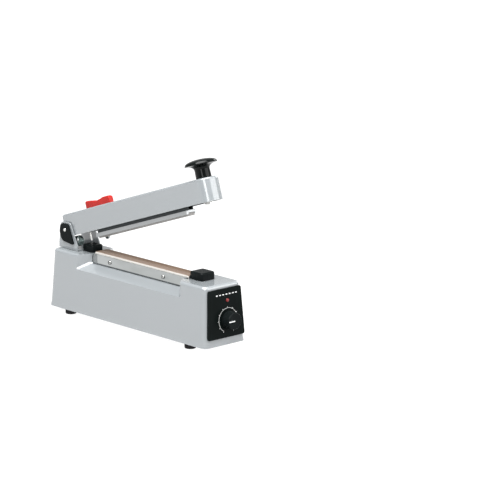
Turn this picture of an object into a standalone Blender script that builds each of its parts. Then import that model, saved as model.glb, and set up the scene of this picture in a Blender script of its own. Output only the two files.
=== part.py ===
"""Hand impulse heat sealer with a film cutter, opened to its rest angle.

Metres, +Z up.  The front (control panel) faces -Y and the hinge is at +Y.  The origin is on
the table, under the middle of the whole machine.  Arm pieces are drawn in the arm's own axes:
Y along the arm (negative towards the front), Z square to it, origin ARM_SHIFT from the pin.
"""
from math import atan2, cos, pi, radians, sin

import bmesh
import bpy
from mathutils import Vector

# ---- casing ----------------------------------------------------------------------------
FOOT_HEIGHT = 0.008
CASE_TOP = 0.089
SKIRT_TOP = 0.016              # the lowest part of the casing flares outwards below this
SKIRT_HALF = (0.0372, 0.1640)  # half width and half length at the bottom edge
BELT_HALF = (0.0362, 0.1632)   # the same at the top of the skirt
TOP_HALF = (0.0321, 0.1590)    # the same at the top face, before its edge is rounded
CORNER_RADIUS = 0.009
TOP_EDGE_RADIUS = 0.004
WALL = 0.002
GAP = 0.0003                   # air left between touching pieces

# ---- saddle pressed into both sides, beside the sealing bar ----------------------------
LEDGE_Z = 0.076
LEDGE_HALF = 0.019
LEDGE_FALL = 0.55              # drop of the ledge per metre outwards
SADDLE_FRONT = -0.099
SADDLE_REAR = 0.093
SADDLE_FLARE = 0.85            # how fast the ends of the saddle open outwards

# ---- sealing bar -----------------------------------------------------------------------
BAR_FRONT = -0.105
BAR_REAR = 0.100
BAR_HALF = 0.012
BAR_TOP = 0.0919
BAR_BOTTOM = 0.0760
BAR_WEB = 0.0052
BAR_LEG = 0.0025
GROOVE = (0.0082, 0.0106)      # the cutter's groove, on the right of the heating strip
GROOVE_DEPTH = 0.0036
LAYER = 0.0004
PLATE_THICK = 0.0014
PLATE_SPAN = (0.0750, 0.0903)
SLANT_LOW = (0.1002, 0.0740)    # the rear end of bar, cloth and plates is cut along this line
SLANT_HIGH = (0.0885, 0.0925)
PLATE_SCREW_Y = (-0.055, 0.056)
PLATE_SCREW_Z = 0.0828
COVER_HALF = 0.012
COVER_FRONT = (-0.1302, -0.1057)
COVER_REAR = (0.0958, 0.1180)
COVER_HEIGHTS = (0.0105, 0.0095)
COVER_REAR_RIGHT = 0.0076      # kept clear of the cutter

# ---- hinge and arm ---------------------------------------------------------------------
HINGE_Y = 0.1430
HINGE_Z = 0.1157
ARM_SHIFT = (0.0041, -0.0014)
OPEN_ANGLE = radians(18.23)
PIN_RADIUS = 0.0025
PIN_HALF = 0.0232
BORE_RADIUS = 0.0026
CHEEK_INNER = 0.0186
SHEET = 0.0016
ARM_HALF = 0.01725
ARM_TOP = 0.0227
ARM_BOTTOM = -0.0091
ARM_REAR = 0.0016
ARM_FRONT = -0.3095
ARM_SHEET = 0.0015
PRESS_REAR = -0.0530
PRESS_FRONT = -0.2510
PRESS_LEFT = -0.0090
PRESS_RIGHT = 0.0078
PRESS_STEP = -0.0132            # underside of the bar's narrow upper part
PAD_BOTTOM = -0.0207
KNOB_Y = -0.290
KNOB_RADIUS = 0.0221
KNOB_HEIGHT = 0.0258
KNOB_RIM = 0.0191               # height of the disc's widest line above the arm

# ---- cutter ----------------------------------------------------------------------------
BLADE_X = 0.00945
HANDLE_REAR = -0.0255
HANDLE_FRONT = -0.0790
HANDLE_SIDES = (0.0054, 0.0134)
HOLDER_Y = (-0.0620, -0.0380)
BLADE_Y = (-0.0610, -0.0468)
CUTTER_TRAVEL = 0.186

# ---- front face ------------------------------------------------------------------------
FACE_LEAN = atan2(BELT_HALF[1] - TOP_HALF[1], CASE_TOP - SKIRT_TOP)
DIAL_X = 0.004
DIAL_UP = 0.0250               # dial centre above the skirt, along the face
LAMP_UP = 0.0515
PANEL_THICK = 0.002
PANEL_LOW = (0.0021, 0.0326)   # distance up the face, half width
PANEL_HIGH = (0.0680, 0.0287)
DIAL_KNOB_RADIUS = 0.0120
DIAL_KNOB_FACE = 0.0163
SHAFT_RADIUS = 0.0030

FOOT_X = 0.025
FOOT_YS = (-0.1215, 0.1285)
GLAND_Z = 0.030

# ---- return spring: a torsion spring round its own pin, with two upright legs ----------
SPRING_AXIS = (0.1262, 0.1014)
SPRING_RADIUS = 0.0068
SPRING_WIRE = 0.0006
SPRING_SPAN = (-0.0168, -0.0081)
SPRING_TURNS = 6
SPRING_PIN_Z = 0.0999            # the coil hangs round the pin and settles as the arm closes
SPRING_FOOT = 0.0912
SPRING_TIP = 0.1113


# ---- building blocks -------------------------------------------------------------------
def material(name, colour, roughness, metallic=0.0):
    mat = bpy.data.materials.new(name)
    mat.use_nodes = True
    shader = mat.node_tree.nodes["Principled BSDF"]
    shader.inputs["Base Color"].default_value = (*colour, 1.0)
    shader.inputs["Roughness"].default_value = roughness
    shader.inputs["Metallic"].default_value = metallic
    return mat


def place(name, bm, mat, parent=None, at=(0, 0, 0), turn=(0, 0, 0)):
    """Turn a bmesh into a named object with outward faces and its own material."""
    bmesh.ops.recalc_face_normals(bm, faces=bm.faces)
    mesh = bpy.data.meshes.new(name)
    bm.to_mesh(mesh)
    bm.free()
    mesh.shade_smooth()
    mesh.set_sharp_from_angle(angle=radians(35))
    obj = bpy.data.objects.new(name, mesh)
    if mat is not None:
        mesh.materials.append(mat)
    obj.location = at
    obj.rotation_euler = turn
    obj.parent = parent
    bpy.context.scene.collection.objects.link(obj)
    return obj


def cutter(name, bm, parent=None, at=(0, 0, 0), turn=(0, 0, 0)):
    obj = place(name, bm, None, parent, at, turn)
    obj.hide_render = True
    obj.display_type = "WIRE"
    return obj


def combine(obj, other, operation="DIFFERENCE"):
    mod = obj.modifiers.new(other.name, "BOOLEAN")
    mod.operation = operation
    mod.object = other
    mod.solver = "EXACT"


def loft(rings):
    """Closed skin through rings of equal point count, capped at both ends."""
    bm = bmesh.new()
    loops = [[bm.verts.new(point) for point in ring] for ring in rings]
    for lower, upper in zip(loops, loops[1:]):
        for i in range(len(lower)):
            j = (i + 1) % len(lower)
            bm.faces.new((lower[i], lower[j], upper[j], upper[i]))
    bm.faces.new(reversed(loops[0]))
    bm.faces.new(loops[-1])
    return bm


def block(low, high):
    """Box between two corners."""
    corners = ((low[0], low[1]), (high[0], low[1]), (high[0], high[1]), (low[0], high[1]))
    return loft([[(x, y, z) for x, y in corners] for z in (low[2], high[2])])


def along_y(outline, start, end):
    """Extrude an (x, z) outline from y = start to y = end."""
    return loft([[(x, y, z) for x, z in outline] for y in (start, end)])


def along_x(outline, start, end):
    """Extrude a (y, z) outline from x = start to x = end."""
    return loft([[(x, y, z) for y, z in outline] for x in (start, end)])


def along_z(outline, start, end):
    """Extrude an (x, y) outline from z = start to z = end."""
    return loft([[(x, y, z) for x, y in outline] for z in (start, end)])


def turned(profile, segments=24):
    """Turn a closed (radius, height) profile about Z; points at radius 0 close on the axis."""
    bm = bmesh.new()
    columns = []
    poles = {i: bm.verts.new((0, 0, z)) for i, (r, z) in enumerate(profile) if r == 0}
    for step in range(segments):
        angle = 2 * pi * step / segments
        column = []
        for i, (r, z) in enumerate(profile):
            point = poles.get(i) or bm.verts.new((r * cos(angle), r * sin(angle), z))
            column.append(point)
        columns.append(column)
    for step in range(segments):
        here = columns[step]
        there = columns[(step + 1) % segments]
        for i in range(len(profile)):
            j = (i + 1) % len(profile)
            corners = list(dict.fromkeys((here[i], here[j], there[j], there[i])))
            if len(corners) > 2:
                bm.faces.new(corners)
    return bm


def rounded(points, radius, steps=3):
    """Round the corners of an outline with arcs; radius is one value or one per corner."""
    result = []
    count = len(points)
    for i, point in enumerate(points):
        size = radius[i] if isinstance(radius, (list, tuple)) else radius
        corner = Vector(point)
        back = (Vector(points[i - 1]) - corner).normalized()
        ahead = (Vector(points[(i + 1) % count]) - corner).normalized()
        if size <= 0:
            result.append(tuple(corner))
            continue
        half = back.angle(ahead) / 2
        bisector = (back + ahead).normalized()
        centre = corner + bisector * (size / sin(half))
        first = corner + back * (size * cos(half) / sin(half)) - centre
        last = corner + ahead * (size * cos(half) / sin(half)) - centre
        sweep = first.angle(last)
        for step in range(steps + 1):
            share = step / steps
            a = sin((1 - share) * sweep) / sin(sweep)
            b = sin(share * sweep) / sin(sweep)
            result.append(tuple(centre + first * a + last * b))
    return result


def rectangle(half_x, half_y, radius=0.0, steps=4):
    corners = ((-half_x, -half_y), (half_x, -half_y), (half_x, half_y), (-half_x, half_y))
    return rounded(corners, radius, steps)


def polygon(sides, radius):
    """Regular polygon with a corner on +X."""
    return [(radius * cos(2 * pi * k / sides), radius * sin(2 * pi * k / sides)) for k in range(sides)]


def screw_profile(head_radius, head_height, shank_radius, shank_length):
    """Pan head above z = 0 and shank below it."""
    return ((0, head_height), (head_radius * 0.7, head_height), (head_radius, head_height * 0.45),
            (head_radius, 0), (shank_radius, 0), (shank_radius, -shank_length), (0, -shank_length))


def casing_half(z):
    """Half width and half length of the casing's outside at a height, below its rounded top."""
    if z < SKIRT_TOP:
        share = max(0.0, (z - FOOT_HEIGHT) / (SKIRT_TOP - FOOT_HEIGHT))
        return [a + (b - a) * share for a, b in zip(SKIRT_HALF, BELT_HALF)]
    share = (z - SKIRT_TOP) / (CASE_TOP - SKIRT_TOP)
    return [a + (b - a) * share for a, b in zip(BELT_HALF, TOP_HALF)]


# ---- casing ----------------------------------------------------------------------------
def casing_skin(inset, bottom, top):
    """Tapered rounded box, drawn in from the casing's outside by inset."""
    edge = TOP_EDGE_RADIUS - inset
    levels = [(bottom, 0.0), (FOOT_HEIGHT, 0.0), (SKIRT_TOP, 0.0), (top - edge, 0.0)]
    if bottom >= FOOT_HEIGHT:
        levels.pop(0)
    for angle in (30, 60, 90):
        levels.append((top - edge * (1 - sin(radians(angle))), edge * (1 - cos(radians(angle)))))
    rings = []
    for z, tuck in levels:
        half_x, half_y = casing_half(z)
        shape = rectangle(half_x - inset - tuck, half_y - inset - tuck, CORNER_RADIUS - inset - tuck)
        rings.append([(x, y, z) for x, y in shape])
    return loft(rings)


def saddle(grow):
    """The space above the two ledges, widened on every side by grow."""
    far = 0.048
    rings = []
    for x in (-far, -LEDGE_HALF, LEDGE_HALF, far):
        out = abs(x) - LEDGE_HALF
        floor = LEDGE_Z - out * LEDGE_FALL - grow * 1.14
        front = SADDLE_FRONT - out * SADDLE_FLARE - grow
        rear = SADDLE_REAR + out * SADDLE_FLARE + grow
        rings.append([(x, front, floor), (x, rear, floor), (x, rear, 0.110), (x, front, 0.110)])
    return loft(rings)


def build_casing(paint, face):
    casing = place("body_casing", casing_skin(0.0, FOOT_HEIGHT, CASE_TOP), paint)
    combine(casing, cutter("saddle_space", saddle(0.0)))
    hollow = cutter("casing_hollow", casing_skin(WALL, FOOT_HEIGHT - 0.001, CASE_TOP - WALL))
    combine(hollow, cutter("saddle_wall", saddle(WALL)))
    combine(casing, hollow)
    for side in (-1, 1):
        for y in FOOT_YS:
            xs = sorted((side * 0.0170, side * 0.0360))
            tab = block((xs[0], y - 0.008, 0.0098), (xs[1], y + 0.008, 0.0118))
            combine(casing, cutter(f"tab_{side}_{y}", tab), "UNION")
            hole = turned(((0, 0.008), (0.0021, 0.008), (0.0021, 0.013), (0, 0.013)), 16)
            combine(casing, cutter(f"tab_hole_{side}_{y}", hole, at=(side * FOOT_X, y, 0)))
    slot = block((-0.0172, SADDLE_FRONT + 0.002, 0.060), (0.0172, SADDLE_REAR - 0.002, 0.100))
    combine(casing, cutter("bar_slot", slot))
    seat = block((-0.0148, BAR_FRONT - 0.0006, 0.0700), (0.0148, BAR_REAR + 0.0006, 0.1000))
    combine(casing, cutter("bar_seat", seat))
    for name, x, up, radius in (("bushing", DIAL_X, DIAL_UP, 0.0038), ("lamp", DIAL_X, LAMP_UP, 0.0027)):
        hole = turned(((0, -0.004), (radius, -0.004), (radius, 0.004), (0, 0.004)), 24)
        combine(casing, cutter(f"{name}_hole", hole, face, (x, up, 0)))
    gland_hole = turned(((0, -0.170), (0.0066, -0.170), (0.0066, -0.150), (0, -0.150)), 24)
    combine(casing, cutter("gland_hole", gland_hole, at=(0, 0, GLAND_Z), turn=(radians(90), 0, 0)))
    stem_hole = turned(((0, 0.080), (0.0022, 0.080), (0.0022, 0.095), (0, 0.095)), 16)
    combine(casing, cutter("plunger_hole", stem_hole, at=(0.009, 0.1285, 0)))


def build_underside(steel, rubber, zinc):
    plate = place("base_plate", along_z(rectangle(0.0344, 0.1608, 0.006), 0.0083, 0.0095), steel)
    foot_profile = ((0.0042, 0), (0.0070, 0), (0.0076, 0.0006), (0.0080, FOOT_HEIGHT),
                    (0.0021, FOOT_HEIGHT), (0.0021, 0.0052), (0.0042, 0.0052))
    names = {(-1, 0): "front_left", (-1, 1): "rear_left", (1, 0): "front_right", (1, 1): "rear_right"}
    for (side, row), name in names.items():
        spot = (side * FOOT_X, FOOT_YS[row], 0)
        place(f"foot_{name}", turned(foot_profile, 24), rubber, at=spot)
        screw = turned(screw_profile(0.0036, 0.0022, 0.0018, 0.0095), 12)
        place(f"foot_screw_{name}", screw, zinc, at=(spot[0], spot[1], 0.0049), turn=(pi, 0, 0))
        hole = turned(((0, 0), (0.0021, 0), (0.0021, 0.020), (0, 0.020)), 16)
        combine(plate, cutter(f"plate_hole_{name}", hole, at=spot))


# ---- front panel -----------------------------------------------------------------------
def build_panel(black, face):
    low, high = PANEL_LOW, PANEL_HIGH
    corners = ((-low[1], low[0]), (low[1], low[0]), (high[1], high[0]), (-high[1], high[0]))
    panel = place("front_panel", along_z(rounded(corners, 0.003, 3), GAP, GAP + PANEL_THICK), black, face)
    for name, up, radius in (("panel_bushing_hole", DIAL_UP, 0.0038), ("panel_lamp_hole", LAMP_UP, 0.0027)):
        hole = turned(((0, -0.002), (radius, -0.002), (radius, 0.005), (0, 0.005)), 24)
        combine(panel, cutter(name, hole, face, (DIAL_X, up, 0)))


def build_timer(face, dial, mats):
    back = -WALL - GAP
    bore = SHAFT_RADIUS + 0.00008
    pot = ((0, -0.0140), (0.0120, -0.0140), (0.0120, back), (0.0035, back), (0.0035, 0.0062),
           (bore, 0.0062), (bore, -0.0110), (0, -0.0110))
    place("timer_potentiometer", turned(pot, 32), mats["brass"], face, (DIAL_X, DIAL_UP, 0))
    centre = (DIAL_X, DIAL_UP, 0)
    nut = place("timer_nut", along_z(polygon(6, 0.0062), 0.0026, 0.0048), mats["zinc"], face, centre)
    hole = turned(((0, 0), (0.0037, 0), (0.0037, 0.010), (0, 0.010)), 24)
    combine(nut, cutter("timer_nut_hole", hole, face, (DIAL_X, DIAL_UP, 0)))
    board = block((-0.026, 0.004, -0.0170), (0.026, 0.058, -0.0154))
    place("timer_board", board, mats["board"], face)
    lamp = ((0, -0.009), (0.0025, -0.009), (0.0025, 0.0028), (0.0018, 0.0038), (0, 0.0042))
    place("indicator_lamp", turned(lamp, 20), mats["lens"], face, (DIAL_X, LAMP_UP, 0))

    rear = GAP + PANEL_THICK + 0.0005
    radius = DIAL_KNOB_RADIUS
    knob = ((bore, 0.0066), (0.0085, 0.0066), (0.0085, rear), (radius, rear), (radius, rear + 0.003),
            (radius - 0.0005, DIAL_KNOB_FACE - 0.0007), (radius - 0.0011, DIAL_KNOB_FACE),
            (0, DIAL_KNOB_FACE), (0, 0.0145), (bore, 0.0145))
    place("timer_knob", turned(knob, 32), mats["black"], dial)
    shaft = ((0, -0.0105), (SHAFT_RADIUS, -0.0105), (SHAFT_RADIUS, 0.0142), (0, 0.0142))
    place("timer_shaft", turned(shaft, 24), mats["zinc"], dial)
    pointer = block((-0.0106, -0.0007, DIAL_KNOB_FACE + 0.0001), (-0.0005, 0.0007, DIAL_KNOB_FACE + 0.0004))
    place("knob_pointer", pointer, mats["white"], dial)


# ---- sealing bar -----------------------------------------------------------------------
def build_seal_bar(mats):
    half, top, bottom = BAR_HALF, BAR_TOP, BAR_BOTTOM
    inner = half - BAR_LEG
    web = top - BAR_WEB
    floor = top - GROOVE_DEPTH
    outline = ((-half, bottom), (-inner, bottom), (-inner, web), (inner, web), (inner, bottom),
               (half, bottom), (half, top), (GROOVE[1], top), (GROOVE[1], floor),
               (GROOVE[0], floor), (GROOVE[0], top), (-half + 0.0008, top), (-half, top - 0.0008))
    bar = place("seal_bar", along_y(outline, BAR_FRONT, BAR_REAR), mats["aluminium"])

    z = top + 0.0001
    for name, mat, edge, height in (("insulator_strip", "cloth", 0.0060, LAYER),
                                    ("heating_element", "brass", 0.0014, 0.0002)):
        strip = block((-edge, BAR_FRONT + 0.001, z), (edge, BAR_REAR - 0.001, z + height))
        place(name, strip, mats[mat])
        z += height + 0.0001
    low = PLATE_SPAN[0] + 0.006
    out = half + 0.0001
    sheet = ((GROOVE[0] - 0.0003, z), (GROOVE[0] - 0.0003, z + LAYER), (-out - LAYER + 0.0008, z + LAYER),
             (-out - LAYER, z + LAYER - 0.0008), (-out - LAYER, low), (-out, low), (-out, z - 0.0006),
             (-out + 0.0006, z))
    place("ptfe_cover", along_y(sheet, BAR_FRONT + 0.0003, BAR_REAR - 0.0003), mats["ptfe"])

    inside = half + LAYER + 0.0005
    for side, name in ((-1, "left"), (1, "right")):
        xs = sorted((side * inside, side * (inside + PLATE_THICK)))
        plate = block((xs[0], BAR_FRONT + 0.001, PLATE_SPAN[0]), (xs[1], BAR_REAR - 0.001, PLATE_SPAN[1]))
        plate = place(f"clamp_plate_{name}", plate, mats["stainless"])
        for y, end in zip(PLATE_SCREW_Y, ("front", "rear")):
            reach = side * (inside + PLATE_THICK + 0.0002)
            turn = (0, side * pi / 2, 0)
            screw = turned(screw_profile(0.0028, 0.0018, 0.0014, 0.0066), 16)
            place(f"plate_screw_{end}_{name}", screw, mats["zinc"], at=(reach, y, PLATE_SCREW_Z), turn=turn)
            hole = turned(((0, 0.001), (0.0016, 0.001), (0.0016, -0.008), (0, -0.008)), 16)
            hole = cutter(f"screw_hole_{end}_{name}", hole, at=(reach, y, PLATE_SCREW_Z), turn=turn)
            combine(plate, hole)
            combine(bar, hole)
            if side < 0:
                combine(bpy.data.objects["ptfe_cover"], hole)

    above = SLANT_HIGH[1] + 0.010
    behind = SLANT_LOW[0] + 0.010
    wedge = along_x((SLANT_LOW, SLANT_HIGH, (SLANT_HIGH[0], above), (behind, above), (behind, SLANT_LOW[1])),
                    -0.020, 0.020)
    wedge = cutter("rear_slant", wedge)
    for name in ("seal_bar", "insulator_strip", "heating_element", "ptfe_cover",
                 "clamp_plate_left", "clamp_plate_right"):
        combine(bpy.data.objects[name], wedge)

    base = CASE_TOP + GAP
    ends = (("front", COVER_FRONT, COVER_HALF, COVER_HEIGHTS[0]),
            ("rear", COVER_REAR, COVER_REAR_RIGHT, COVER_HEIGHTS[1]))
    for name, (y0, y1), right, height in ends:
        middle = ((right - COVER_HALF) / 2, (y0 + y1) / 2)
        rings = []
        for z, tuck in ((base, 0), (base + height - 0.0015, 0), (base + height, 0.0015)):
            shape = rectangle((right + COVER_HALF) / 2 - tuck, (y1 - y0) / 2 - tuck, 0.0030 - tuck * 0.8)
            rings.append([(x + middle[0], y + middle[1], z) for x, y in shape])
        place(f"terminal_cover_{name}", loft(rings), mats["black"])

    for name, y, way in (("front", -0.080, 1), ("rear", 0.080, -1)):
        top_z = web - GAP
        shape = ((y, 0.0098), (y + way * 0.014, 0.0098), (y + way * 0.014, 0.0118), (y + way * 0.002, 0.0118),
                 (y + way * 0.002, top_z - 0.002), (y + way * 0.014, top_z - 0.002), (y + way * 0.014, top_z),
                 (y, top_z))
        place(f"bar_support_{name}", along_x(shape, -0.008, 0.008), mats["steel"])


# ---- inside ----------------------------------------------------------------------------
def build_inside(mats):
    core = place("transformer_core", block((-0.027, 0.018, 0.0120), (0.027, 0.046, 0.0570)), mats["steel"])
    for side in (-1, 1):
        xs = sorted((side * 0.009, side * 0.018))
        window = block((xs[0], 0.010, 0.0210), (xs[1], 0.054, 0.0480))
        combine(core, cutter(f"core_window_{side}", window))
    ring = [(x, y + 0.032) for x, y in rectangle(0.0176, 0.0222, 0.004, 3)]
    coil = place("transformer_coil", along_z(ring, 0.0214, 0.0476), mats["copper"])
    combine(coil, cutter("coil_middle", block((-0.0093, 0.0177, 0.015), (0.0093, 0.0463, 0.055))))
    strap = ((-0.034, 0.0098), (-0.0276, 0.0098), (-0.0276, 0.0574), (0.0276, 0.0574), (0.0276, 0.0098),
             (0.034, 0.0098), (0.034, 0.0110), (0.0288, 0.0110), (0.0288, 0.0586), (-0.0288, 0.0586),
             (-0.0288, 0.0110), (-0.034, 0.0110))
    place("transformer_frame", along_y(strap, 0.024, 0.040), mats["steel"])

    switch = block((-0.001, 0.1245, 0.0690), (0.019, 0.1325, 0.0805))
    switch = place("microswitch", switch, mats["black"])
    well = turned(((0, 0.0776), (0.0022, 0.0776), (0.0022, 0.0830), (0, 0.0830)), 16)
    combine(switch, cutter("plunger_well", well, at=(0.009, 0.1285, 0)))
    plunger = ((0, 0.0808), (0.0020, 0.0808), (0.0020, 0.0934), (0, 0.0934))
    pivot = bpy.data.objects.new("plunger_axis", None)
    bpy.context.scene.collection.objects.link(pivot)
    pivot.location = (0.009, 0.1285, 0)
    place("switch_plunger", turned(plunger, 16), mats["zinc"], pivot)


def build_gland(black):
    """Cord gland in the rear wall, its axis level.  It reaches as far back as the dial knob does forward."""
    knob_front = (BELT_HALF[1] + (DIAL_KNOB_FACE * cos(FACE_LEAN))
                  - (DIAL_UP - DIAL_KNOB_RADIUS + 0.0011) * sin(FACE_LEAN))
    wall = casing_half(GLAND_Z - 0.009)[1] + GAP
    body = ((0.0036, wall - 0.016), (0.0062, wall - 0.016), (0.0062, wall), (0.0090, wall),
            (0.0090, wall + 0.006), (0.0078, wall + 0.0065), (0.0066, knob_front - 0.0015),
            (0.0055, knob_front), (0.0036, knob_front))
    place("cord_gland", turned(body, 24), black, at=(0, 0, GLAND_Z), turn=(radians(-90), 0, 0))
    ring = ((0.0064, wall - 0.0080), (0.0090, wall - 0.0080), (0.0090, wall - 0.0040),
            (0.0064, wall - 0.0040))
    place("gland_nut", turned(ring, 24), black, at=(0, 0, GLAND_Z), turn=(radians(-90), 0, 0))


# ---- hinge -----------------------------------------------------------------------------
def build_hinge(mats):
    base = CASE_TOP + GAP
    cheek = ((0.1185, base), (0.1585, base), (0.1585, 0.0960), (0.1535, 0.1265), (0.1345, 0.1265),
             (0.1185, 0.0965))
    cheek = rounded(cheek, (0, 0, 0.004, 0.006, 0.005, 0.006), 3)
    bracket = place("hinge_bracket", along_x(cheek, -CHEEK_INNER - SHEET, CHEEK_INNER + SHEET), mats["paint"])
    middle = block((-CHEEK_INNER, 0.110, base + SHEET), (CHEEK_INNER, 0.170, 0.140))
    combine(bracket, cutter("between_cheeks", middle))
    across = (0, radians(90), 0)
    bore = turned(((0, -0.030), (BORE_RADIUS, -0.030), (BORE_RADIUS, 0.030), (0, 0.030)), 32)
    bore = cutter("pin_bore", bore, at=(0, HINGE_Y, HINGE_Z), turn=across)
    combine(bracket, bore)
    stem = turned(((0, 0.080), (0.0024, 0.080), (0.0024, 0.095), (0, 0.095)), 16)
    combine(bracket, cutter("bracket_plunger_hole", stem, at=(0.009, 0.1285, 0)))
    shape = ((0.1240, 0.0968), (0.1500, 0.1000), (0.1545, 0.1120), (0.1525, 0.1245), (0.1355, 0.1245))
    shape = rounded(shape, (0.002, 0.008, 0.006, 0.006, 0.005), 3)
    outer = CHEEK_INNER + SHEET + GAP
    for side, name in ((-1, "left"), (1, "right")):
        xs = sorted((side * outer, side * (outer + 0.0022)))
        cap = place(f"hinge_cap_{name}", along_x(shape, *xs), mats["black"])
        combine(cap, bore)
    pin = ((0, -PIN_HALF), (PIN_RADIUS - 0.0004, -PIN_HALF), (PIN_RADIUS, -PIN_HALF + 0.0004),
           (PIN_RADIUS, PIN_HALF - 0.0004), (PIN_RADIUS - 0.0004, PIN_HALF), (0, PIN_HALF))
    place("hinge_pin", turned(pin, 32), mats["zinc"], at=(0, HINGE_Y, HINGE_Z), turn=across)


def build_spring(steel, zinc):
    """Torsion spring: one leg stands on the hinge bracket, the other lifts the arm."""
    per_turn = 16
    count = SPRING_TURNS * per_turn
    middle_y, middle_z = SPRING_AXIS
    start, end = SPRING_SPAN
    path = [(start, middle_y - SPRING_RADIUS, SPRING_TIP)]
    for i in range(count + 1):
        angle = pi + 2 * pi * i / per_turn
        x = start + (end - start) * i / count
        path.append((x, middle_y + SPRING_RADIUS * cos(angle), middle_z + SPRING_RADIUS * sin(angle)))
    path.append((end, middle_y - SPRING_RADIUS, SPRING_FOOT))
    curve = bpy.data.curves.new("return_spring", "CURVE")
    curve.dimensions = "3D"
    curve.bevel_depth = SPRING_WIRE
    curve.bevel_resolution = 2
    curve.use_fill_caps = True
    spline = curve.splines.new("POLY")
    spline.points.add(len(path) - 1)
    for point, spot in zip(spline.points, path):
        point.co = (*spot, 1)
    curve.materials.append(steel)
    bpy.context.scene.collection.objects.link(bpy.data.objects.new("return_spring", curve))

    inner = CHEEK_INNER - GAP
    pin = ((0, -inner), (0.0020, -inner), (0.0020, -inner + 0.0110), (0.0016, -inner + 0.0114),
           (0, -inner + 0.0114))
    place("spring_pin", turned(pin, 24), zinc, at=(0, middle_y, SPRING_PIN_Z), turn=(0, radians(90), 0))


# ---- arm -------------------------------------------------------------------------------
def arm_outline(inset, steps=10):
    """Plan of the arm in (x, y): square at the hinge, a half circle at the front."""
    half = ARM_HALF - inset
    centre = ARM_FRONT + ARM_HALF
    points = [(half, ARM_REAR - inset), (-half, ARM_REAR - inset)]
    for step in range(steps + 1):
        angle = pi + pi * step / steps
        points.append((half * cos(angle), centre + half * sin(angle)))
    return points


def build_arm(mats, arm, axis):
    rings = []
    for z, tuck in ((ARM_BOTTOM, 0), (ARM_TOP - 0.003, 0), (ARM_TOP - 0.0009, 0.0009), (ARM_TOP, 0.003)):
        rings.append([(x, y, z) for x, y in arm_outline(tuck)])
    cover = place("arm_cover", loft(rings), mats["paint"], arm)
    inner = along_z(arm_outline(ARM_SHEET), ARM_BOTTOM - 0.002, ARM_TOP - ARM_SHEET)
    combine(cover, cutter("arm_hollow", inner, arm))
    rear = block((-0.020, -0.004, ARM_BOTTOM - 0.002), (0.020, ARM_REAR + 0.002, -0.0038))
    combine(cover, cutter("arm_rear_relief", rear, arm))
    tail = block((-ARM_HALF + ARM_SHEET, -0.006, -0.006), (ARM_HALF - ARM_SHEET, ARM_REAR + 0.002, 0.0060))
    combine(cover, cutter("arm_rear_opening", tail, arm))
    bore = turned(((0, -0.030), (BORE_RADIUS, -0.030), (BORE_RADIUS, 0.030), (0, 0.030)), 32)
    combine(cover, cutter("arm_pin_bore", bore, axis, turn=(0, radians(90), 0)))
    slot = block((0.0081, HOLDER_Y[0] - CUTTER_TRAVEL - 0.0015, 0.010), (0.0106, HOLDER_Y[1] + 0.0015, 0.030))
    combine(cover, cutter("cutter_slot", slot, arm))
    hole = turned(((0, -0.020), (0.0032, -0.020), (0.0032, 0.030), (0, 0.030)), 20)
    bolt_hole = cutter("knob_bolt_hole", hole, arm, (0, KNOB_Y, 0))
    combine(cover, bolt_hole)

    left, right = PRESS_LEFT, PRESS_RIGHT
    low = PAD_BOTTOM + 0.0020
    step = PRESS_STEP
    top = ARM_TOP - ARM_SHEET - 0.0004
    channel = ((left, low), (-0.0053, low), (-0.0053, low + 0.0022), (0.0053, low + 0.0022), (0.0053, low),
               (right, low), (right, step), (0.0046, step), (0.0046, top), (0.0030, top),
               (0.0030, step + 0.0008), (-0.0036, step + 0.0008), (-0.0036, top), (-0.0052, top),
               (-0.0052, step), (left, step))
    place("press_bar", along_y(channel, PRESS_FRONT, PRESS_REAR), mats["aluminium"], arm)
    pad = block((-0.0050, PRESS_FRONT + 0.0003, PAD_BOTTOM), (0.0050, PRESS_REAR - 0.0003, low + 0.0019))
    place("silicone_strip", pad, mats["silicone"], arm)

    seat = block((-0.0154, -0.026, -0.0078), (0.0154, -0.004, -0.0063))
    place("spring_seat", seat, mats["steel"], arm)
    pusher = ((0, -0.0206), (0.0014, -0.0206), (0.0014, -0.0081), (0, -0.0081))
    place("switch_pusher", turned(pusher, 16), mats["zinc"], arm, (0.009, -0.018, 0))

    front = [(x, y) for x, y in arm_outline(ARM_SHEET + 0.0004) if y < -0.2]
    front = [(front[-1][0], -0.268)] + [(front[0][0], -0.268)] + front
    stiffener = place("arm_front_plate", along_z(front, -0.0075, -0.0060), mats["steel"], arm)
    combine(stiffener, bolt_hole)
    bolt = ((0, -0.0125), (0.0026, -0.0125), (0.0030, -0.0120), (0.0030, ARM_TOP + 0.0158),
            (0, ARM_TOP + 0.0158))
    place("knob_bolt", turned(bolt, 20), mats["zinc"], arm, (0, KNOB_Y, 0))
    nut = along_z(polygon(6, 0.0058), -0.0118, -0.0093)
    washer = along_z(polygon(24, 0.0065), -0.0090, -0.0078)
    for name, shape in (("knob_nut", nut), ("knob_washer", washer)):
        combine(place(name, shape, mats["zinc"], arm, (0, KNOB_Y, 0)), bolt_hole)

    base = ARM_TOP + GAP
    top = ARM_TOP + KNOB_HEIGHT
    rim = ARM_TOP + KNOB_RIM
    r = KNOB_RADIUS
    profile = [(0.0032, base), (0.0106, base), (0.0103, rim - 0.0065), (0.0115, rim - 0.0042),
               (0.0150, rim - 0.0020), (r - 0.0012, rim - 0.0008), (r, rim), (r - 0.0008, rim + 0.0010)]
    shoulder = Vector(profile[-1])
    for angle in (25, 45, 65):
        height = shoulder.y + (top - shoulder.y) * sin(radians(angle))
        profile.append((shoulder.x * cos(radians(angle)), height))
    profile += [(0, top), (0, base + 0.0165), (0.0032, base + 0.0165)]
    place("press_knob", turned(profile, 36), mats["black"], arm, (0, KNOB_Y, 0))


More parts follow.
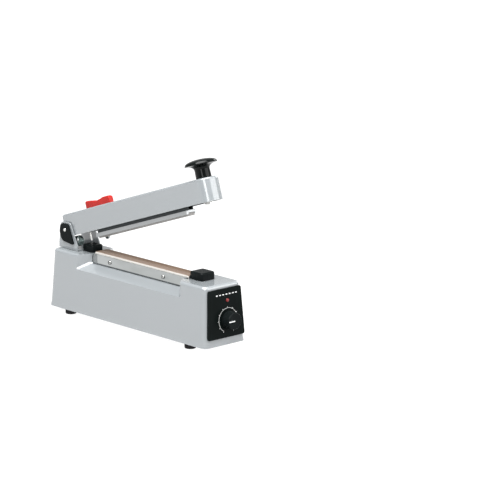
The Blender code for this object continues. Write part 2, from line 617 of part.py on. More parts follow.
# ---- cutter ----------------------------------------------------------------------------
def build_cutter(mats, slide):
    """Film cutter, drawn at its rear stop in the arm's axes."""
    base = ARM_TOP + GAP
    rear, front = HANDLE_REAR, HANDLE_FRONT
    side = ((front, base), (rear, base), (rear, base + 0.0110), (-0.0370, base + 0.0098),
            (-0.0500, base + 0.0080), (-0.0580, base + 0.0093), (-0.0650, base + 0.0108),
            (-0.0750, base + 0.0110), (front, base + 0.0090))
    radii = (0.0005, 0.0005, 0.0015, 0, 0, 0, 0, 0, 0.0010)
    shape = rounded(side, radii, 3)
    handle = place("cutter_handle", along_x(shape, *HANDLE_SIDES), mats["red"], slide)
    notch = block((0.0083, HOLDER_Y[0] - GAP, base - 0.002), (0.0104, HOLDER_Y[1] + GAP, base + 0.0043))
    combine(handle, cutter("holder_notch", notch, slide))
    ceiling = ARM_TOP - ARM_SHEET - 0.0004
    low = PAD_BOTTOM + 0.0022
    outline = ((0.0098, low), (0.0132, low), (0.0132, ceiling), (0.0101, ceiling), (0.0101, base + 0.0040),
               (0.0086, base + 0.0040), (0.0086, ceiling - 0.002), (0.0098, ceiling - 0.002))
    place("blade_holder", along_y(outline, *HOLDER_Y), mats["black"], slide)
    low = PAD_BOTTOM - 0.0030
    edge = ((BLADE_Y[0] + 0.004, low), (BLADE_Y[1] - 0.004, low), (BLADE_Y[1], low + 0.005),
            (BLADE_Y[1], -0.0040), (BLADE_Y[0], -0.0040), (BLADE_Y[0], low + 0.005))
    place("cutter_blade", along_x(edge, BLADE_X - 0.00025, BLADE_X + 0.00025), mats["stainless"], slide)


def empty(name, at, turn=(0, 0, 0), parent=None):
    obj = bpy.data.objects.new(name, None)
    obj.location = at
    obj.rotation_euler = turn
    obj.parent = parent
    bpy.context.scene.collection.objects.link(obj)
    return obj


def main():
    for obj in list(bpy.data.objects):
        bpy.data.objects.remove(obj)
    mats = {
        "paint": material("painted_grey", (0.50, 0.53, 0.54), 0.30),
        "black": material("black_plastic", (0.012, 0.013, 0.014), 0.32),
        "panel": material("black_panel", (0.008, 0.010, 0.011), 0.12),
        "rubber": material("foot_rubber", (0.015, 0.015, 0.016), 0.75),
        "red": material("red_plastic", (0.62, 0.030, 0.018), 0.35),
        "ptfe": material("tan_ptfe", (0.42, 0.27, 0.16), 0.50),
        "cloth": material("glass_cloth", (0.70, 0.66, 0.55), 0.80),
        "silicone": material("grey_silicone", (0.30, 0.29, 0.28), 0.60),
        "aluminium": material("bar_aluminium", (0.72, 0.73, 0.74), 0.30, 1.0),
        "stainless": material("polished_stainless", (0.66, 0.67, 0.68), 0.12, 1.0),
        "steel": material("sheet_steel", (0.45, 0.46, 0.47), 0.40, 1.0),
        "zinc": material("zinc_steel", (0.62, 0.62, 0.60), 0.25, 1.0),
        "brass": material("brass", (0.60, 0.45, 0.20), 0.30, 1.0),
        "copper": material("enamelled_copper", (0.45, 0.16, 0.06), 0.45, 0.5),
        "board": material("circuit_board", (0.03, 0.15, 0.06), 0.50),
        "lens": material("red_lens", (0.25, 0.015, 0.012), 0.20),
        "white": material("pointer_white", (0.80, 0.80, 0.78), 0.50),
    }
    face = empty("front_face", (0, -BELT_HALF[1], SKIRT_TOP), (pi / 2 - FACE_LEAN, 0, 0))
    dial = empty("dial_axis", (DIAL_X, DIAL_UP, 0), parent=face)
    arm = empty("arm_axis", (0, HINGE_Y, HINGE_Z), (-OPEN_ANGLE, 0, 0))
    lever = empty("arm_pieces", (0, *ARM_SHIFT), parent=arm)
    slide = empty("cutter_slide_axis", (0, 0, 0), parent=lever)

    build_casing(mats["paint"], face)
    build_underside(mats["steel"], mats["rubber"], mats["zinc"])
    build_panel(mats["panel"], face)
    build_timer(face, dial, mats)
    build_seal_bar(mats)
    build_inside(mats)
    build_gland(mats["black"])
    build_hinge(mats)
    build_spring(mats["steel"], mats["zinc"])
    build_arm(mats, lever, arm)
    build_cutter(mats, slide)


main()
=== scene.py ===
"""Looks of the hand impulse heat sealer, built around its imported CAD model.  Metres, +Z up."""

from math import atan2, cos, pi, radians, sin

import bmesh
import bpy
from mathutils import Matrix, Vector

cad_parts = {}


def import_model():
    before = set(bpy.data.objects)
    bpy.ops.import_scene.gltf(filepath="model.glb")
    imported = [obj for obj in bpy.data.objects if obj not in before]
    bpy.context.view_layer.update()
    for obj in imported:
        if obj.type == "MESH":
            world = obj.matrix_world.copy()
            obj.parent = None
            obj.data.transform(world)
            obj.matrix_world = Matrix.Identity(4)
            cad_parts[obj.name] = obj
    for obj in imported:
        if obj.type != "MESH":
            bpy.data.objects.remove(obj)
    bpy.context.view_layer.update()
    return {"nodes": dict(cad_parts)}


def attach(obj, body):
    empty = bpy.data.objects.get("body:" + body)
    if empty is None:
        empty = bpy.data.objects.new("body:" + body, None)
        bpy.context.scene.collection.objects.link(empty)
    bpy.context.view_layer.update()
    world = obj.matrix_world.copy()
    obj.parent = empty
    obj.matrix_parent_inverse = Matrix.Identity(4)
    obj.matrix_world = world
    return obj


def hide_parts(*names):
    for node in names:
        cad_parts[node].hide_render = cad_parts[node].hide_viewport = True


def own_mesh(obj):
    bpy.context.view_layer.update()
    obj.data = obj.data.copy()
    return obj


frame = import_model()
NODES = frame["nodes"]

# ---- sizes shared with the CAD model ----------------------------------------------------
# Casing: heights of its bottom, skirt and top, then half width and half length at each.
FOOT_HEIGHT = 0.008
SKIRT_TOP = 0.016
CASE_TOP = 0.089
SKIRT_HALF = (0.0372, 0.1640)
BELT_HALF = (0.0362, 0.1632)
TOP_HALF = (0.0321, 0.1590)
# Ledges beside the sealing bar: inner edge, height there, and fall for a metre outwards.
LEDGE_HALF = 0.019
LEDGE_Z = 0.076
LEDGE_FALL = 0.55
# Arm: its axle, its offset from the axle, its angle at rest, then its sheet in its own frame.
HINGE = Vector((0.0, 0.1430, 0.1157))
ARM_SHIFT = Vector((0.0, 0.0041, -0.0014))
OPEN_ANGLE = radians(18.23)
ARM_HALF = 0.01725
ARM_TOP = 0.0227
ARM_BOTTOM = -0.0091
ARM_REAR = 0.0016
ARM_FRONT = -0.3095
ARM_SHEET = 0.0015
KNOB_Y = -0.290
# Front panel: how far it leans back, then the dial and the lamp measured up along it.
FACE_LEAN = atan2(BELT_HALF[1] - TOP_HALF[1], CASE_TOP - SKIRT_TOP)
DIAL_X = 0.004
DIAL_UP = 0.025
LAMP_UP = 0.0515

# Frames that parts are modelled in.
AXLE = Matrix.Translation(HINGE) @ Matrix.Rotation(-OPEN_ANGLE, 4, "X")
ARM = AXLE @ Matrix.Translation(ARM_SHIFT)
FACE = (Matrix.Translation((0, -BELT_HALF[1], SKIRT_TOP))
        @ Matrix.Rotation(pi / 2 - FACE_LEAN, 4, "X"))
DIAL = FACE @ Matrix.Translation((DIAL_X, DIAL_UP, 0))


# ---- materials --------------------------------------------------------------------------
ALONG_ARM = (OPEN_ANGLE, 0, 0)  # turns a texture so that it runs along the arm at rest
WAVE_PERIOD = 0.31416  # metres from ridge to ridge in a wave texture of scale 1
DRAWN_DEPTH = 0.000006
BAR_STEP = -0.0132  # height on the arm where the recess of the pressing bar ends; the painted shade on the bar stops here
STEP_BLUR = 0.0002
PTFE_PITCH = 0.00052
CLOTH_PITCH = 0.0007
WORN_FROM, WORN_TO = -0.0035, 0.0010  # browning grows across the bar between these
SIDE_FROM, SIDE_TO = -0.0124, -0.0118  # and the fold down the side is paler


class Nodes:
    """A material under construction: its Principled shader and short ways to add nodes."""

    def __init__(self, name, roughness=0.5, metallic=0.0, turn=(0, 0, 0)):
        self.mat = bpy.data.materials.new(name)
        self.mat.use_nodes = True
        self.tree = self.mat.node_tree
        self.shader = self.tree.nodes["Principled BSDF"]
        self.shader.inputs["Roughness"].default_value = roughness
        self.shader.inputs["Metallic"].default_value = metallic
        self.place = self.tree.nodes.new("ShaderNodeTexCoord").outputs["Object"]
        if any(turn):
            mapping = self.tree.nodes.new("ShaderNodeMapping")
            mapping.inputs["Rotation"].default_value = turn
            self.link(self.place, mapping.inputs["Vector"])
            self.place = mapping.outputs["Vector"]

    def link(self, a, b):
        self.tree.links.new(a, b)

    def stretch(self, scale):
        mapping = self.tree.nodes.new("ShaderNodeMapping")
        mapping.inputs["Scale"].default_value = scale
        self.link(self.place, mapping.inputs["Vector"])
        return mapping.outputs["Vector"]

    def noise(self, scale, detail=2.0, rough=0.5, stretch=None):
        node = self.tree.nodes.new("ShaderNodeTexNoise")
        node.inputs["Scale"].default_value = scale
        node.inputs["Detail"].default_value = detail
        node.inputs["Roughness"].default_value = rough
        self.link(self.stretch(stretch) if stretch else self.place, node.inputs["Vector"])
        return node.outputs["Fac"]

    def streaks(self):
        """Fine lines drawn along Y."""
        return self.noise(3000.0, 3.0, 0.6, (1, 0.02, 1))

    def along(self, axis):
        """The coordinate on one axis."""
        node = self.tree.nodes.new("ShaderNodeSeparateXYZ")
        self.link(self.place, node.inputs[0])
        return node.outputs[axis]

    def bands(self, period, axis="X"):
        """Smooth ridges with the given period in metres."""
        node = self.tree.nodes.new("ShaderNodeTexWave")
        node.bands_direction = axis
        node.inputs["Scale"].default_value = WAVE_PERIOD / period
        self.link(self.place, node.inputs["Vector"])
        return node.outputs["Fac"]

    def cells(self, scale, feature="F1"):
        """Flakes of flat shade, or else the distance to the border between them."""
        node = self.tree.nodes.new("ShaderNodeTexVoronoi")
        node.feature = feature
        node.inputs["Scale"].default_value = scale
        self.link(self.place, node.inputs["Vector"])
        return node.outputs["Color" if feature == "F1" else "Distance"]

    def math(self, operation, a, b):
        node = self.tree.nodes.new("ShaderNodeMath")
        node.operation = operation
        for socket, value in zip(node.inputs, (a, b)):
            if isinstance(value, (int, float)):
                socket.default_value = value
            else:
                self.link(value, socket)
        return node.outputs[0]

    def spread(self, value, low, high, start=0.3, end=0.7):
        """The value's stretch from start to end, laid out from low to high."""
        node = self.tree.nodes.new("ShaderNodeMapRange")
        self.link(value, node.inputs["Value"])
        limits = (("From Min", start), ("From Max", end), ("To Min", low), ("To Max", high))
        for key, number in limits:
            node.inputs[key].default_value = number
        return node.outputs["Result"]

    def ramp(self, value, stops):
        """Colours by value, between stops of (value, colour)."""
        node = self.tree.nodes.new("ShaderNodeValToRGB")
        self.link(value, node.inputs["Fac"])
        ramp = node.color_ramp
        while len(ramp.elements) < len(stops):
            ramp.elements.new(0.5)
        for element, (at, colour) in zip(ramp.elements, stops):
            element.position = at
            element.color = (*colour, 1.0)
        return node.outputs["Color"]

    def mix(self, share, a, b):
        """Colour a where share is 0 and colour b where it is 1."""
        node = self.tree.nodes.new("ShaderNodeMix")
        node.data_type = "RGBA"
        for key, value in (("Factor", share), ("A", a), ("B", b)):
            socket = [s for s in node.inputs if s.name == key and s.enabled][0]
            if isinstance(value, tuple):
                socket.default_value = (*value, 1.0)
            elif isinstance(value, float):
                socket.default_value = value
            else:
                self.link(value, socket)
        return [s for s in node.outputs if s.enabled][0]

    def colour(self, value):
        self.link(value, self.shader.inputs["Base Color"])

    def roughness(self, value):
        self.link(value, self.shader.inputs["Roughness"])

    def bump(self, height, depth, strength=1.0):
        """Relief of the given depth in metres; a second call adds to the first."""
        node = self.tree.nodes.new("ShaderNodeBump")
        node.inputs["Strength"].default_value = strength
        node.inputs["Distance"].default_value = depth
        self.link(height, node.inputs["Height"])
        before = self.shader.inputs["Normal"].links
        if before:
            self.link(before[0].from_socket, node.inputs["Normal"])
        self.link(node.outputs["Normal"], self.shader.inputs["Normal"])

    def set(self, **values):
        """Values of the shader's own sockets, with _ for the spaces in their names."""
        for key, value in values.items():
            self.shader.inputs[key.replace("_", " ")].default_value = value


def shades(colour, amount):
    """A darker and a lighter shade of a colour."""
    dark = tuple(c * (1 - amount) for c in colour)
    return dark, tuple(min(1.0, c * (1 + amount)) for c in colour)


def moulded(name, colour, gloss, grain, size, vary, shine=0.5, coat=0.0, patch=38.0):
    """Paint or moulded plastic: fine grain, uneven gloss and a slight change of shade.

    gloss is the range of roughness, grain the relief's depth, size and patch the scales of
    grain and shade, vary the change of shade, shine the specular level.
    """
    m = Nodes(name)
    dark, light = shades(colour, vary)
    m.colour(m.ramp(m.noise(patch, 2.0), ((0.3, dark), (0.7, light))))
    m.roughness(m.spread(m.noise(70.0, 2.0), *gloss))
    m.bump(m.noise(size, 2.0), grain)
    m.set(Specular_IOR_Level=shine, Coat_Weight=coat, Coat_Roughness=0.10)
    return m.mat


def brushed(name, colour, gloss):
    """Metal with fine drawn lines along Y."""
    m = Nodes(name, metallic=1.0)
    dark, light = shades(colour, 0.06)
    streaks = m.streaks()
    m.colour(m.ramp(m.noise(90.0, 3.0), ((0.3, dark), (0.7, light))))
    m.roughness(m.spread(streaks, *gloss))
    m.bump(streaks, DRAWN_DEPTH)
    return m.mat


def extruded(name):
    """Satin aluminium of the pressing bar; its recessed upper part is painted near-black as shade,
    standing in for the shadow the arm casts on it.
    """
    m = Nodes(name, metallic=1.0, turn=ALONG_ARM)
    step = (Matrix.Rotation(OPEN_ANGLE, 4, "X") @ ARM @ Vector((0, 0, BAR_STEP))).z
    # share 1 on the lit foot, 0 on the recess above the step, which gets painted shade
    unshaded_foot = m.spread(m.along("Z"), 1.0, 0.0, step - STEP_BLUR, step + STEP_BLUR)
    streaks = m.streaks()
    satin = m.ramp(streaks, ((0.2, (0.30, 0.31, 0.315)), (0.8, (0.40, 0.41, 0.415))))
    # the near-black colour on the recess is painted shade, not a finish of the metal
    m.colour(m.mix(unshaded_foot, (0.045, 0.050, 0.052), satin))
    m.roughness(m.spread(streaks, 0.26, 0.42))
    m.bump(streaks, DRAWN_DEPTH)
    return m.mat


def polished(name):
    """Mirror-bright stainless strip with long, soft changes of tone and fine upright lines."""
    m = Nodes(name, metallic=1.0)
    tone = m.noise(26.0, 2.0, 0.5, (1, 0.6, 1.6))
    lines = m.noise(2600.0, 3.0, 0.6, (1, 1, 0.03))
    m.colour(m.ramp(tone, ((0.30, (0.13, 0.145, 0.14)), (0.48, (0.33, 0.345, 0.34)),
                           (0.8, (0.40, 0.415, 0.415)))))
    m.roughness(m.spread(lines, 0.04, 0.09))
    m.bump(lines, 0.000002)
    return m.mat


def plated(name, colour, gloss=(0.2, 0.34), vary=0.12):
    """Zinc-plated steel: cloudy colour and fine pitting."""
    m = Nodes(name, metallic=1.0)
    dark, light = shades(colour, vary)
    m.colour(m.ramp(m.noise(420.0, 4.0, 0.6), ((0.3, dark), (0.7, light))))
    m.roughness(m.spread(m.noise(900.0, 3.0), *gloss))
    m.bump(m.noise(2600.0, 2.0), 0.000008)
    return m.mat


def galvanised(name, colour):
    """Galvanised sheet, with crystal flakes of slightly different shade."""
    m = Nodes(name, metallic=1.0)
    dark, light = shades(colour, 0.2)
    flakes = m.cells(240.0)
    m.colour(m.ramp(flakes, ((0.1, dark), (0.9, light))))
    m.roughness(m.spread(m.noise(500.0, 4.0), 0.28, 0.46))
    m.bump(m.noise(1500.0, 3.0), 0.00001)
    return m.mat


def woven(name):
    """Glass cloth coated with PTFE: plain weave, warm tan, browned over the heating strip."""
    m = Nodes(name)
    weave = m.math("MULTIPLY", m.bands(PTFE_PITCH, "X"), m.bands(PTFE_PITCH, "Y"))
    blotch = m.noise(60.0, 5.0, 0.65, (1.0, 0.25, 1.0))
    tan = m.ramp(blotch, ((0.25, (0.108, 0.074, 0.054)), (0.75, (0.145, 0.105, 0.080))))
    worn = m.ramp(blotch, ((0.25, (0.080, 0.045, 0.024)), (0.75, (0.110, 0.068, 0.040))))
    across = m.along("X")
    browned = m.spread(across, 0.0, 1.0, WORN_FROM, WORN_TO)
    side = m.spread(across, 1.0, 0.0, SIDE_FROM, SIDE_TO)
    m.colour(m.mix(side, m.mix(browned, tan, worn), (0.40, 0.385, 0.36)))
    m.roughness(m.spread(m.noise(300.0, 4.0), 0.34, 0.52))
    m.bump(weave, 0.00003)
    m.bump(m.noise(140.0, 3.0), 0.00012, 0.5)
    m.set(Specular_IOR_Level=0.25, Coat_Weight=0.08, Coat_Roughness=0.3)
    return m.mat


def cloth(name):
    """Plain woven glass cloth, uncoated."""
    m = Nodes(name)
    weave = m.math("MULTIPLY", m.bands(CLOTH_PITCH, "X"), m.bands(CLOTH_PITCH, "Y"))
    m.colour(m.ramp(weave, ((0.0, (0.48, 0.44, 0.36)), (1.0, (0.74, 0.71, 0.62)))))
    m.roughness(m.spread(m.noise(400.0, 3.0), 0.7, 0.9))
    m.bump(weave, 0.00004)
    return m.mat


def ridged(name, colour, period, axis, metallic, gloss, depth):
    """Laminations or windings: straight ridges at a fixed pitch."""
    m = Nodes(name, metallic=metallic)
    ridges = m.bands(period, axis)
    dark, light = shades(colour, 0.3)
    m.colour(m.mix(ridges, dark, light))
    m.roughness(m.spread(m.noise(600.0, 3.0), *gloss))
    m.bump(ridges, depth)
    return m.mat


def rubber(name):
    """Dull black rubber."""
    m = Nodes(name)
    m.colour(m.ramp(m.noise(260.0, 5.0, 0.6),
                    ((0.35, (0.005, 0.005, 0.006)), (0.8, (0.013, 0.013, 0.014)))))
    m.roughness(m.spread(m.noise(500.0, 4.0), 0.62, 0.85))
    m.bump(m.noise(1800.0, 3.0), 0.00003)
    m.set(Specular_IOR_Level=0.2)
    return m.mat


def board(name):
    """Green circuit board with the faint pattern of its tracks."""
    m = Nodes(name)
    tracks = m.cells(520.0, "DISTANCE_TO_EDGE")
    m.colour(m.ramp(tracks, ((0.02, (0.010, 0.075, 0.030)), (0.08, (0.020, 0.150, 0.060)))))
    m.roughness(m.spread(m.noise(300.0, 3.0), 0.3, 0.5))
    m.bump(tracks, 0.00004)
    return m.mat


def lens(name):
    """Unlit red lamp lens with fine ribs."""
    m = Nodes(name)
    m.colour(m.ramp(m.noise(900.0, 2.0),
                    ((0.3, (0.085, 0.006, 0.006)), (0.7, (0.130, 0.009, 0.008)))))
    m.roughness(m.spread(m.noise(1200.0, 2.0), 0.1, 0.2))
    m.bump(m.bands(0.0006, "X"), 0.00003)
    m.set(Specular_IOR_Level=0.3, Coat_Weight=0.15, Coat_Roughness=0.06)
    return m.mat


def printed(name):
    """Screen-printed white ink."""
    m = Nodes(name)
    m.colour(m.ramp(m.noise(1500.0, 3.0),
                    ((0.2, (0.46, 0.47, 0.46)), (0.8, (0.62, 0.63, 0.62)))))
    m.roughness(m.spread(m.noise(900.0, 3.0), 0.4, 0.6))
    m.bump(m.noise(4000.0, 2.0), 0.000006)
    return m.mat


GREY = (0.168, 0.181, 0.188)
MATS = {
    "paint": moulded("grey_enamel", GREY, (0.185, 0.200), 0.000001, 2600.0, 0.008, 0.8,
                     coat=0.8, patch=9.0),
    "black": moulded("black_moulding", (0.0034, 0.0046, 0.0048), (0.24, 0.34),
                     0.00001, 2600.0, 0.3, 0.05),
    "gloss_black": moulded("gloss_black_knob", (0.0022, 0.0030, 0.0028), (0.06, 0.10),
                           0.000002, 1200.0, 0.3, 0.15),
    "panel": moulded("black_panel_film", (0.0026, 0.0040, 0.0038), (0.18, 0.26),
                     0.000004, 3200.0, 0.2, 0.04),
    "rubber": rubber("foot_rubber"),
    "red": moulded("red_moulding", (0.270, 0.008, 0.005), (0.26, 0.36),
                   0.00001, 2400.0, 0.10, 0.22),
    "ptfe": woven("tan_coated_cloth"),
    "cloth": cloth("glass_cloth"),
    "silicone": moulded("grey_silicone", (0.26, 0.25, 0.24), (0.5, 0.7),
                        0.00003, 1500.0, 0.12),
    "aluminium": brushed("bar_aluminium", (0.48, 0.49, 0.50), (0.24, 0.40)),
    "arm_aluminium_painted_shade": extruded("press_bar_aluminium_painted_shade"),
    "stainless": polished("polished_stainless"),
    "steel": galvanised("sheet_steel", (0.50, 0.51, 0.52)),
    "dark_steel": plated("blackened_steel", (0.150, 0.190, 0.185), (0.18, 0.30), 0.3),
    "screw": plated("bright_screw", (0.36, 0.36, 0.35), (0.10, 0.18)),
    "zinc": plated("zinc_steel", (0.62, 0.62, 0.60)),
    "brass": plated("brass", (0.60, 0.44, 0.20), (0.2, 0.35)),
    "copper": ridged("copper_winding", (0.46, 0.17, 0.06), 0.0007, "Z", 0.6, (0.3, 0.45),
                     0.00020),
    "laminations": ridged("steel_laminations", (0.34, 0.35, 0.36), 0.0005, "Y", 0.9, (0.4, 0.55),
                          0.00010),
    "board": board("circuit_board"),
    "lens": lens("red_lens"),
    "white": printed("white_print"),
}
# CAD nodes shown as they are packed, and the material of each.
CAD_MATS = {
    "aluminium": ("seal_bar",),
    "arm_aluminium_painted_shade": ("press_bar",),
    "black": ("microswitch", "gland_nut", "terminal_cover_front", "terminal_cover_rear",
              "hinge_cap_left", "hinge_cap_right", "blade_holder"),
    "board": ("timer_board",),
    "brass": ("timer_potentiometer", "heating_element"),
    "cloth": ("insulator_strip",),
    "copper": ("transformer_coil",),
    "laminations": ("transformer_core",),
    "paint": ("hinge_bracket",),
    "panel": ("front_panel",),
    "silicone": ("silicone_strip",),
    "stainless": ("clamp_plate_left", "clamp_plate_right", "cutter_blade"),
    "steel": ("base_plate", "bar_support_front", "bar_support_rear", "transformer_frame",
              "arm_front_plate", "spring_seat"),
    "white": ("knob_pointer",),
    "zinc": ("timer_nut", "timer_shaft", "spring_pin", "hinge_pin", "knob_bolt", "knob_nut",
             "knob_washer", "switch_pusher", "switch_plunger", "foot_screw_front_left",
             "foot_screw_front_right", "foot_screw_rear_left", "foot_screw_rear_right"),
}


# ---- mesh building ----------------------------------------------------------------------
SOFT_ANGLE = radians(38)
NORMAL_WEIGHT = 80
CAD_BEVEL = 0.0003
CAD_WELD = 0.00002
CAD_FLAT = radians(0.5)


def shown(name, bm):
    """The mesh in the making as an object of the scene."""
    mesh = bpy.data.meshes.new(name)
    bm.to_mesh(mesh)
    bm.free()
    obj = bpy.data.objects.new(name, mesh)
    bpy.context.scene.collection.objects.link(obj)
    return obj


def outwards(bm):
    bmesh.ops.recalc_face_normals(bm, faces=bm.faces)
    return bm


def carve(bm, *tools):
    """What is left of a closed shape after the tools are cut out of it."""
    target = shown("shape", outwards(bm))
    made = [target]
    for tool in tools:
        other = shown("shape", outwards(tool))
        made.append(other)
        cut = target.modifiers.new("cut", "BOOLEAN")
        cut.solver = "EXACT"
        cut.object = other
    bpy.context.view_layer.update()
    result = bmesh.new()
    result.from_object(target, bpy.context.evaluated_depsgraph_get())
    for obj in made:
        mesh = obj.data
        bpy.data.objects.remove(obj)
        bpy.data.meshes.remove(mesh)
    return result


def soften(obj, width, segments=2):
    """Bevel the sharp edges and shade by the larger faces."""
    soft = obj.modifiers.new("soft", "BEVEL")
    soft.width = width
    soft.segments = segments
    soft.limit_method = "ANGLE"
    soft.angle_limit = SOFT_ANGLE
    smooth = obj.modifiers.new("normals", "WEIGHTED_NORMAL")
    smooth.weight = NORMAL_WEIGHT


def piece(name, bm, mat, body, slot, *nodes, at=None, crease=35.0, bevel=0.0, segments=2):
    """A finished piece: it rides on a body and stands for the CAD nodes named."""
    obj = shown(name, outwards(bm))
    mesh = obj.data
    if at is not None:
        mesh.transform(at)
    mesh.shade_smooth()
    mesh.materials.append(MATS[mat])
    if bevel:
        soften(obj, bevel, segments)
    else:
        mesh.set_sharp_from_angle(angle=radians(crease))
    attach(obj, body)
    if nodes:
        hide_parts(*nodes)
    return obj


def dress(node, mat):
    """A CAD node as packed, with softened edges and a worked material."""
    obj = NODES[node]
    obj.data.materials.clear()
    obj.data.materials.append(MATS[mat])
    if "custom_normal" in obj.data.attributes:
        obj.data.attributes.remove(obj.data.attributes["custom_normal"])
    weld = obj.modifiers.new("weld", "WELD")
    weld.merge_threshold = CAD_WELD
    flat = obj.modifiers.new("planar", "DECIMATE")
    flat.decimate_type = "DISSOLVE"
    flat.angle_limit = CAD_FLAT
    obj.data.shade_smooth()
    soften(obj, CAD_BEVEL)


def loft(rings):
    """Closed skin through rings of equal point count, capped at both ends."""
    bm = bmesh.new()
    loops = [[bm.verts.new(point) for point in ring] for ring in rings]
    for lower, upper in zip(loops, loops[1:]):
        for i in range(len(lower)):
            j = (i + 1) % len(lower)
            bm.faces.new((lower[i], lower[j], upper[j], upper[i]))
    bm.faces.new(reversed(loops[0]))
    bm.faces.new(loops[-1])
    return bm


def prism(outline, low, high):
    """An (x, y) outline carried up from low to high."""
    return loft([[(x, y, z) for x, y in outline] for z in (low, high)])


def block(low, high):
    corners = ((low[0], low[1]), (high[0], low[1]), (high[0], high[1]), (low[0], high[1]))
    return prism(corners, low[2], high[2])


def turned(profile, segments=64, shape=None):
    """Turn a closed (radius, height) profile about Z; shape scales the radius by angle."""
    bm = bmesh.new()
    columns = []
    poles = {i: bm.verts.new((0, 0, z)) for i, (r, z) in enumerate(profile) if r == 0}
    for step in range(segments):
        angle = 2 * pi * step / segments
        column = []
        for i, (r, z) in enumerate(profile):
            wide = r * shape(angle, r) if shape else r
            spot = (wide * cos(angle), wide * sin(angle), z)
            column.append(poles.get(i) or bm.verts.new(spot))
        columns.append(column)
    for step in range(segments):
        here, there = columns[step], columns[(step + 1) % segments]
        for i in range(len(profile)):
            j = (i + 1) % len(profile)
            corners = list(dict.fromkeys((here[i], here[j], there[j], there[i])))
            if len(corners) > 2:
                bm.faces.new(corners)
    return bm


def rod(radius, low, high, at, segments=64):
    """Round tool for a bore: a cylinder along Z, placed by a matrix."""
    bm = turned(((0, low), (radius, low), (radius, high), (0, high)), segments)
    bm.transform(at)
    return bm


def arc(centre, reach, start, sweep, steps, skip=0):
    """Points on a round or oval arc; skip leaves out the first of them."""
    angles = [start + sweep * k / steps for k in range(skip, steps + 1)]
    return [(centre[0] + reach[0] * cos(a), centre[1] + reach[1] * sin(a)) for a in angles]


def dome(radius, base, height, steps):
    """Profile from just above a dome's rim to its top, which lies on the axis."""
    rise = arc((0, base), (radius, height), 0, pi / 2, steps, 1)
    return rise[:-1] + [(0, base + height)]


def rounded(points, radius, steps=6):
    """Round the corners of an outline with arcs; radius is one value or one per corner."""
    result = []
    for i, point in enumerate(points):
        size = radius[i] if isinstance(radius, tuple) else radius
        corner = Vector(point)
        if size <= 0:
            result.append(tuple(corner))
            continue
        back = (Vector(points[i - 1]) - corner).normalized()
        ahead = (Vector(points[(i + 1) % len(points)]) - corner).normalized()
        half = back.angle(ahead) / 2
        centre = corner + (back + ahead).normalized() * (size / sin(half))
        first = corner + back * (size * cos(half) / sin(half)) - centre
        last = corner + ahead * (size * cos(half) / sin(half)) - centre
        sweep = first.angle(last)
        for step in range(steps + 1):
            share = step / steps
            a = sin((1 - share) * sweep) / sin(sweep)
            b = sin(share * sweep) / sin(sweep)
            result.append(tuple(centre + first * a + last * b))
    return result


def rectangle(half_x, half_y, radius, steps=12):
    corners = ((-half_x, -half_y), (half_x, -half_y), (half_x, half_y), (-half_x, half_y))
    return rounded(corners, radius, steps)


def tube(path, radius, sides):
    """Round wire along a list of points, closed at both ends."""
    spots = [Vector(p) for p in path]
    rings = []
    across = None
    for i, spot in enumerate(spots):
        ahead = (spots[min(i + 1, len(spots) - 1)] - spots[max(i - 1, 0)]).normalized()
        if across is None:
            across = ahead.orthogonal().normalized()
        across = (across - ahead * across.dot(ahead)).normalized()
        other = ahead.cross(across)
        rings.append([spot + (across * cos(a) + other * sin(a)) * radius
                      for a in (2 * pi * k / sides for k in range(sides))])
    return loft(rings)


def ripple(count, depth):
    """Shape of grip flutes for turned(): count of them round the rim, cut in by depth."""
    return lambda angle: 1.0 - depth * (0.5 + 0.5 * cos(count * angle))


for mat, names in CAD_MATS.items():
    for node in names:
        dress(node, mat)

# ---- casing -----------------------------------------------------------------------------
WALL = 0.002
CORNER_RADIUS = 0.009
TOP_EDGE_RADIUS = 0.004
# The saddle is the space over the bar and ledges; it widens outwards at both ends.
SADDLE_Y = (-0.099, 0.093)
SADDLE_CORNER = 0.003
SADDLE_FLARE = 0.85
REAR_FLARE = 0.68
UPRIGHT = 1.14  # thickness of the sloping ledge measured upright, for a thickness of 1
# The seat takes the sealing bar, with a slanted rear; the slot lets it through the casing.
BAR_Y = (-0.105, 0.100)
SEAT_HALF = 0.0148
SEAT_Z = (0.0700, 0.1000)
SEAT_GAP = 0.0006
SEAT_REAR = ((0.1010, 0.0745), (0.0890, 0.0935))
SLOT_HALF = 0.0152
SLOT_Z = (0.060, 0.100)
# Bores, and the places of those that no other part gives.
DIAL_BORE = 0.0038
LAMP_BORE = 0.0027
PANEL_BORE_REACH = 0.004
GLAND_BORE = 0.0066
GLAND_BORE_Y = (0.150, 0.170)
GLAND_Z = 0.030
PUSHER_BORE = 0.0022
PUSHER_AT = (0.009, 0.1285)
PUSHER_BORE_Z = (0.080, 0.095)
FOOT_X = 0.025
FOOT_Y = {"front": -0.1215, "rear": 0.1285}
SIDES = {"left": -1, "right": 1}


def casing_half(z):
    """Half width and half length of the casing's outside at a height."""
    if z < SKIRT_TOP:
        share = max(0.0, (z - FOOT_HEIGHT) / (SKIRT_TOP - FOOT_HEIGHT))
        return [a + (b - a) * share for a, b in zip(SKIRT_HALF, BELT_HALF)]
    share = (z - SKIRT_TOP) / (CASE_TOP - SKIRT_TOP)
    return [a + (b - a) * share for a, b in zip(BELT_HALF, TOP_HALF)]


def casing_skin(inset, bottom, top, steps=8):
    """The casing's outside, or its inside when inset, rounded along the top edge."""
    edge = TOP_EDGE_RADIUS - inset
    levels = [(bottom, 0.0)] if bottom < FOOT_HEIGHT else []
    levels += [(FOOT_HEIGHT, 0.0), (SKIRT_TOP, 0.0), (top - edge, 0.0)]
    for step in range(1, steps + 1):
        angle = pi / 2 * step / steps
        levels.append((top - edge * (1 - sin(angle)), edge * (1 - cos(angle))))
    rings = []
    for z, tuck in levels:
        half_x, half_y = casing_half(z)
        less = inset + tuck
        shape = rectangle(half_x - less, half_y - less, CORNER_RADIUS - less)
        rings.append([(x, y, z) for x, y in shape])
    return loft(rings)


